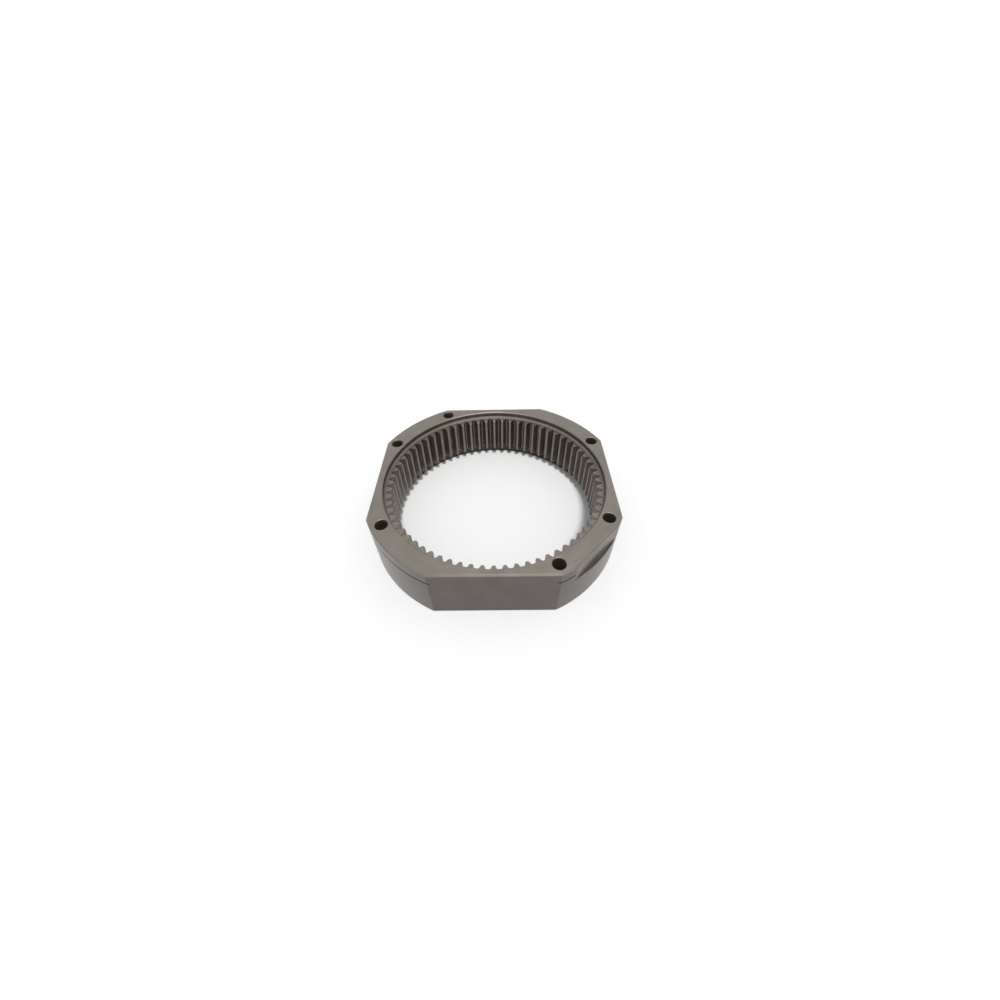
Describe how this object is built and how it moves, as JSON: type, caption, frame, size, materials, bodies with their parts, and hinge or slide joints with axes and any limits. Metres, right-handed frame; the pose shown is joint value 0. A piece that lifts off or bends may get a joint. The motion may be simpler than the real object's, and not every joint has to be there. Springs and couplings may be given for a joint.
{
  "type": "internal ring gear",
  "caption": "steel ring with straight internal teeth, a recessed register at each face, flats milled on its round rim, through bolt holes and a step across one corner of the rim",
  "frame": {"origin": "centre of the lower face, on the gear axis", "axes": "+Z is the gear axis and points up, out of the upper face; -Y is the normal of the front flat; +X is to the right; the rim's milled step faces between +X and -Y"},
  "size_m": [0.2656, 0.2656, 0.066],
  "materials": {
    "ring_steel": "machined, matte grey-brown"
  },
  "bodies": {
    "root": {"ring_gear": "ring_steel"}
  },
  "joints": []
}
